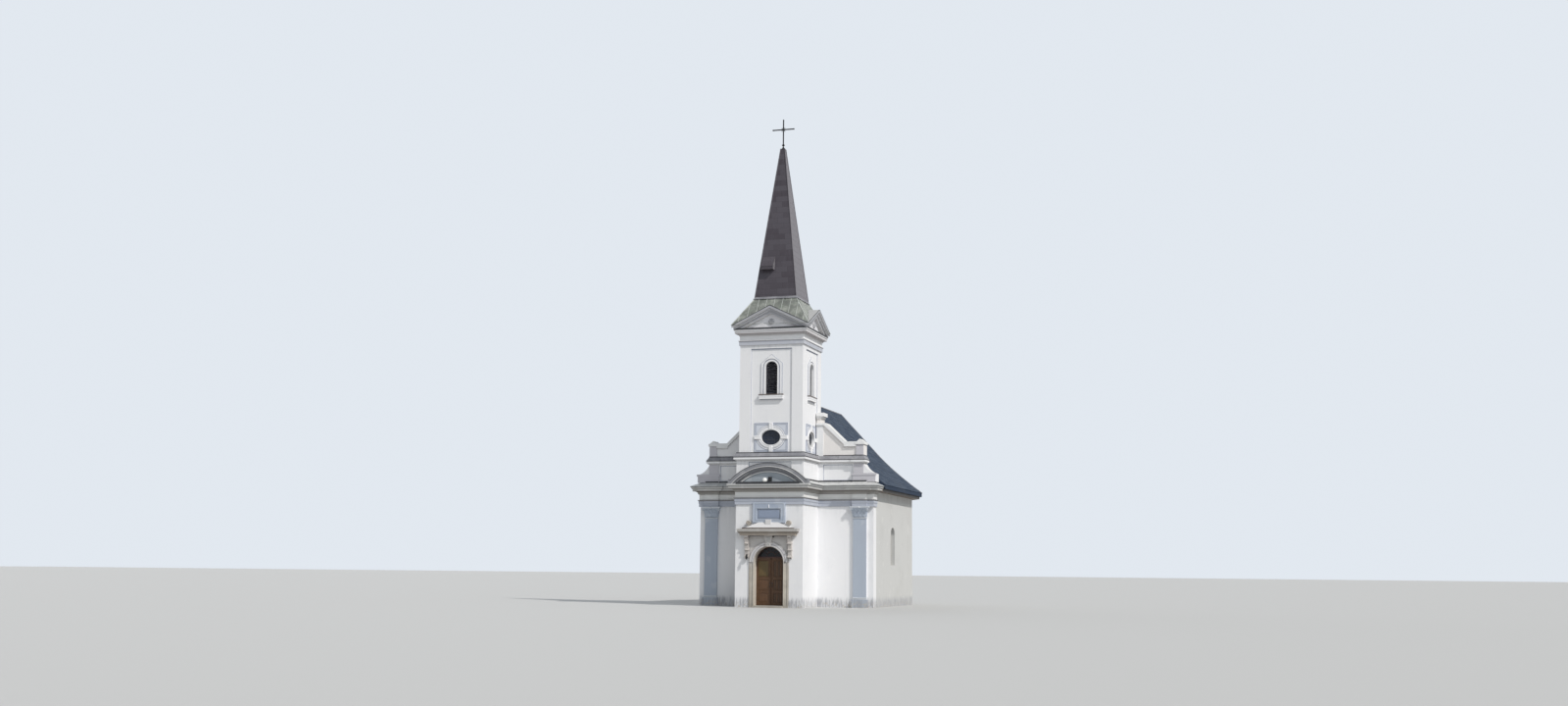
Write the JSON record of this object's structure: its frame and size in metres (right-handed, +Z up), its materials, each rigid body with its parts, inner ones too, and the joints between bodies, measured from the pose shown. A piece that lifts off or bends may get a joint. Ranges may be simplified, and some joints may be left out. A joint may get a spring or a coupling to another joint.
{
  "type": "church building",
  "caption": "Small rendered church with a square front tower, louvred belfry, slim sheet-metal spire, curved gables, hipped nave roof and a panelled double door.",
  "frame": {"origin": "on the ground in the middle of the church's length and width", "axes": "+X along the entrance facade to the viewer's right, +Y from the entrance to the apse, +Z up"},
  "size_m": [10.5, 18.02, 25.935],
  "materials": {
    "capping_sheet": "grey-green sheet capping",
    "dark_wood": "dark louvre boards",
    "door_wood": "brown varnished panelled wood",
    "eaves_boards": "brown painted boards",
    "iron": "black iron",
    "lamp": "white lamp globe and dark housing",
    "lime_render": "painted lime render, weathered",
    "portal_stone": "dressed stone, matt",
    "render_mouldings": "painted render mouldings, weathered",
    "roof_covering": "dark blue-grey roof tiles, matt",
    "skirt_sheet": "patinated sheet with standing seams",
    "spire_sheet": "brown sheet metal in courses, weathered",
    "window_glass": "clear glass, dark behind",
    "window_paint": "pale painted window frames"
  },
  "bodies": {
    "church": {"apse_roof": "roof_covering", "apse_wall_back": "lime_render", "apse_wall_left": "lime_render", "apse_wall_right": "lime_render", "attic_piers": "render_mouldings", "belfry_back": "lime_render", "belfry_cornice": "render_mouldings", "belfry_front": "lime_render", "belfry_left": "lime_render", "belfry_louvres": "dark_wood", "belfry_right": "lime_render", "belfry_surrounds": "render_mouldings", "capitals": "render_mouldings", "cornice_capping": "capping_sheet", "cross": "iron", "door_hood": "render_mouldings", "door_pintles": "iron", "facade_left": "lime_render", "facade_right": "lime_render", "fanlight_frame": "door_wood", "fanlight_glass": "window_glass", "floodlight": "lamp", "gable_crest": "render_mouldings", "hood_consoles": "render_mouldings", "keystone": "portal_stone", "main_cornice": "render_mouldings", "nave_eaves": "eaves_boards", "nave_floor": "lime_render", "nave_roof": "roof_covering", "nave_wall_left": "lime_render", "nave_wall_right": "lime_render", "oculus_glass": "window_glass", "pilasters": "lime_render", "plaque": "render_mouldings", "plaque_scrolls": "render_mouldings", "portal_surround": "portal_stone", "segmental_pediment": "render_mouldings", "skirt_roof": "skirt_sheet", "spire": "spire_sheet", "spire_hatch": "spire_sheet", "string_course": "render_mouldings", "threshold": "portal_stone", "tower_back_wall": "lime_render", "tower_floor": "lime_render", "tower_front_over": "lime_render", "tower_front_piers": "lime_render", "tower_pediments": "render_mouldings", "tower_wall_left": "lime_render", "tower_wall_right": "lime_render", "wall_lantern": "iron", "window_frames": "window_paint", "window_glass": "window_glass"},
    "left_leaf": {"door_leaf_left": "door_wood"},
    "right_leaf": {"door_leaf_right": "door_wood"}
  },
  "joints": [
    {"name": "left_leaf_hinge", "type": "hinge", "parent": "church", "child": "left_leaf", "pos_m": [-0.845, -8.099, 0.1], "axis": [0, 0, 1], "range_deg": [0, 90]},
    {"name": "right_leaf_hinge", "type": "hinge", "parent": "church", "child": "right_leaf", "pos_m": [0.845, -8.099, 0.1], "axis": [0, 0, -1], "range_deg": [0, 90]}
  ]
}
